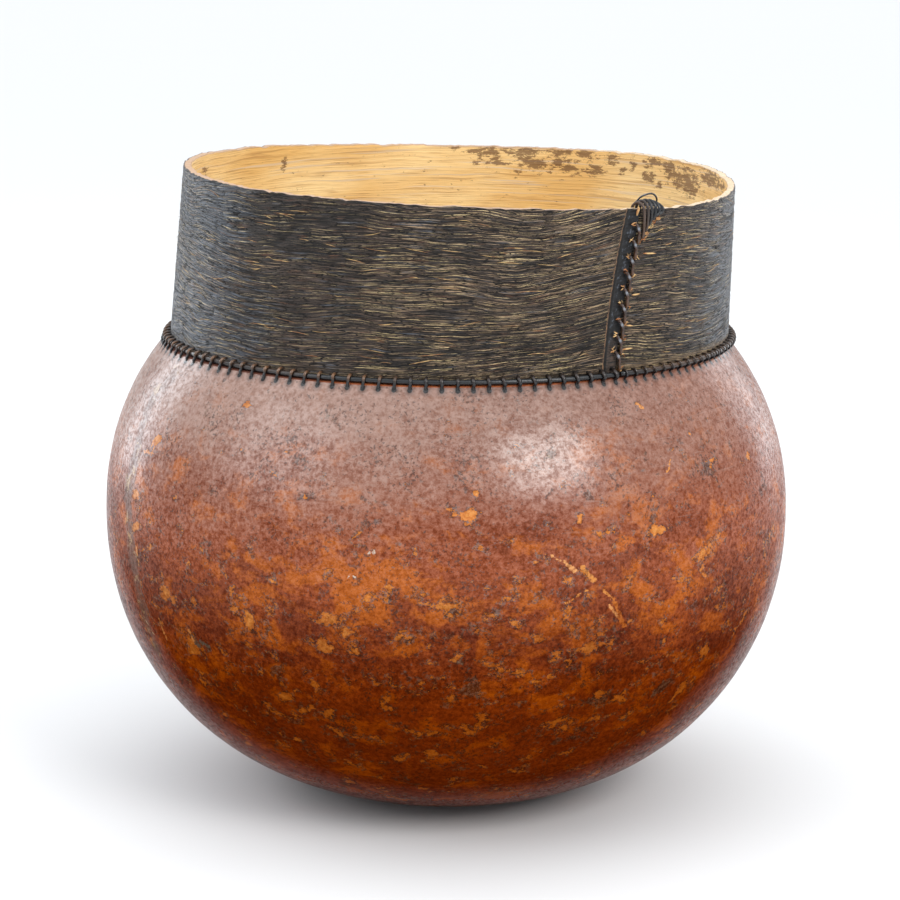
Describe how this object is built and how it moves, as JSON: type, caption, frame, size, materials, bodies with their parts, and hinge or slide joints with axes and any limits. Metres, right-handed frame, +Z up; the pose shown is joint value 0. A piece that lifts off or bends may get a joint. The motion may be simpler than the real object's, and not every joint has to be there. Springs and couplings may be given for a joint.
{
  "type": "dried gourd vessel",
  "caption": "Round bowl made from a large dried bottle gourd, with a tall sewn bark collar laced round its open mouth.",
  "frame": {"origin": "middle of the flat spot that the gourd rests on", "axes": "+Z up through the mouth, -Y towards the side that shows the collar's seam, +X to the right seen from that side"},
  "size_m": [0.3597, 0.3598, 0.3301],
  "materials": {
    "gourd_shell": "satin, waxed by handling, orange to red-brown with darker blotches and worn tan flakes",
    "bark": "near-black ridged bark outside, golden bare wood inside, creamy cut rim",
    "dark_cord": "waxed, near-black twisted bast",
    "seam_thread": "glossy dark brown twisted bast"
  },
  "bodies": {
    "root": {"gourd_bowl": "gourd_shell", "bark_collar": "bark", "welt_cord": "dark_cord", "joint_lacing": "dark_cord", "seam_lacing": "seam_thread", "rim_binding": "dark_cord"}
  },
  "joints": []
}
